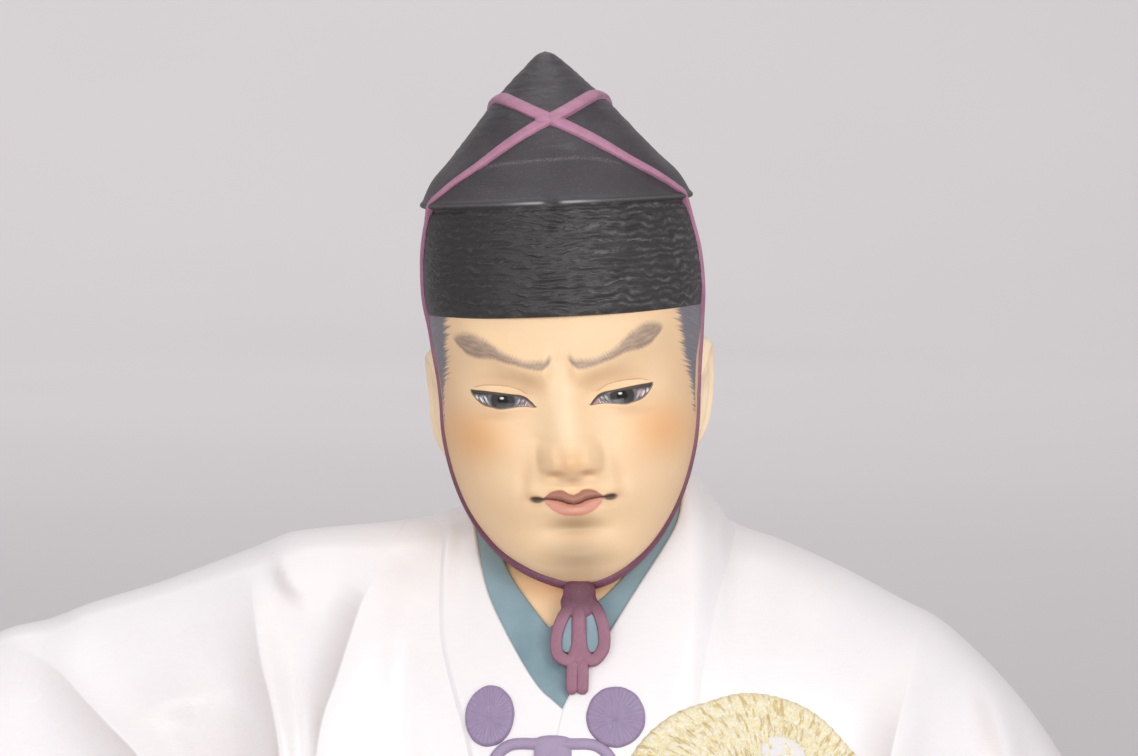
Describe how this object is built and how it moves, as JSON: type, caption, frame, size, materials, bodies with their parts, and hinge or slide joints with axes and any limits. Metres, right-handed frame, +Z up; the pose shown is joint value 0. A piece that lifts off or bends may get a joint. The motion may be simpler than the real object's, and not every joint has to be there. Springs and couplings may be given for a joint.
{
  "type": "painted clay doll bust",
  "caption": "Head and shoulders of a painted clay doll: a man in a tall black court hat tied under the chin and a wide-sleeved ceremonial robe, cut flat below.",
  "frame": {"origin": "on the flat underside, straight below the neck", "axes": "the doll looks along -Y; +X is the onlooker's right; +Z is up"},
  "size_m": [0.1834, 0.0623, 0.131],
  "materials": {
    "painted_clay": "satin"
  },
  "bodies": {
    "root": {"doll_bust": "painted_clay"}
  },
  "joints": []
}
